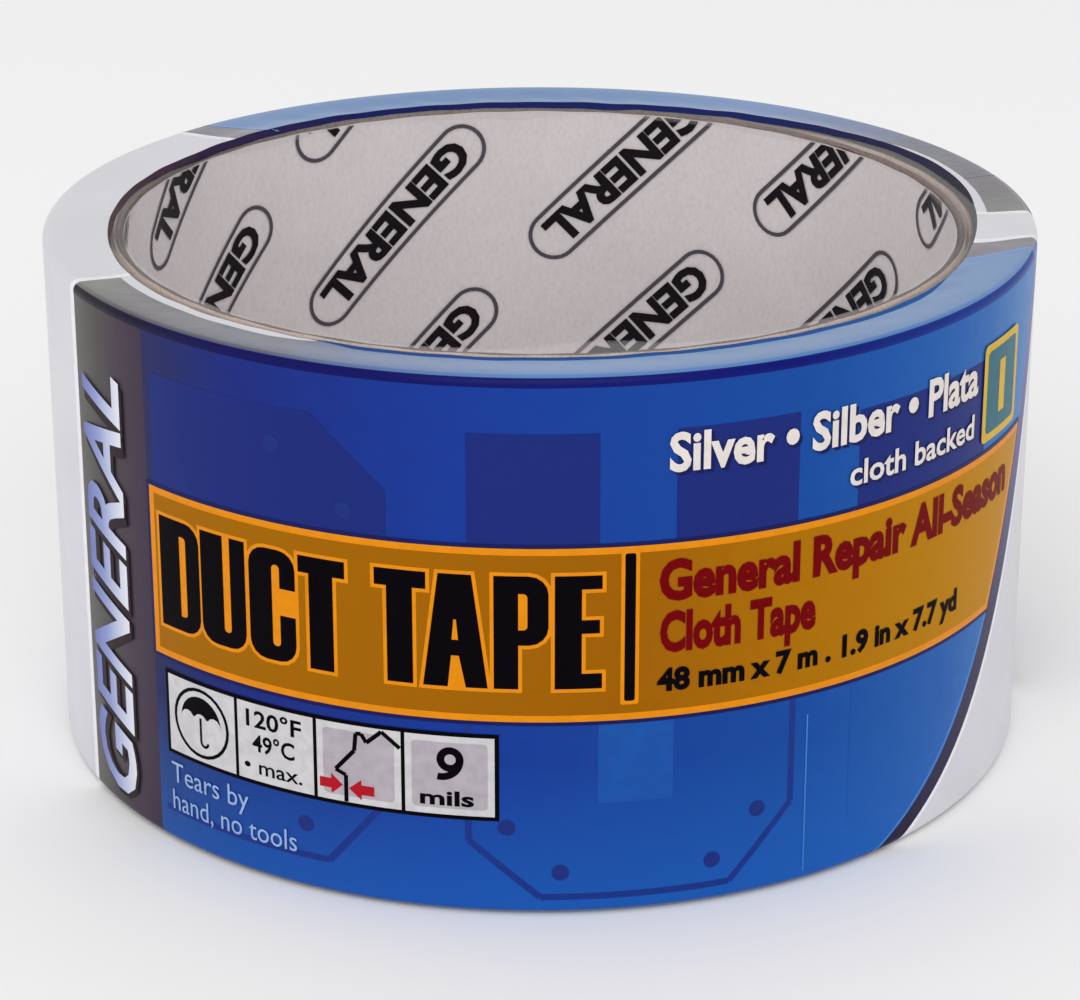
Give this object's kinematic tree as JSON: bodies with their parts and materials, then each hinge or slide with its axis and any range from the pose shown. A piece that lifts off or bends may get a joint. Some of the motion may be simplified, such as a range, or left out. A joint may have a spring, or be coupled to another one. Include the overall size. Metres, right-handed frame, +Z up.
{
  "type": "duct tape roll",
  "caption": "Round roll of cloth-backed adhesive tape wound on a paper core with an open bore, wrapped in a glossy printed shrink sleeve that laps over both end faces.",
  "frame": {"origin": "centre of the lower end face, on the plane that the roll rests on", "axes": "+Z up along the roll's axis; the printed front panel faces -Y; +X to the right of that panel"},
  "size_m": [0.0908, 0.0908, 0.0481],
  "materials": {
    "liner_paper": "smooth light warm-grey printed paper",
    "core_board": "raw light tan chipboard",
    "face_paper": "smooth kraft paper",
    "tape_edge": "slit tape edge, fine grey rings",
    "tape_adhesive": "tacky satin adhesive",
    "tape_cloth": "open gauze scrim",
    "tape_backing": "silver-grey polyethylene film with the weave showing through",
    "sleeve_film": "glossy shrink film printed blue, amber, black and silver-white"
  },
  "bodies": {
    "root": {"core_liner_ply": "liner_paper", "core_board_ply_inner": "core_board", "core_board_ply_middle": "core_board", "core_board_ply_outer": "core_board", "core_face_ply": "face_paper", "tape_windings": "tape_edge", "last_turn_adhesive": "tape_adhesive", "last_turn_cloth": "tape_cloth", "last_turn_backing": "tape_backing", "shrink_sleeve": "sleeve_film"}
  },
  "joints": []
}
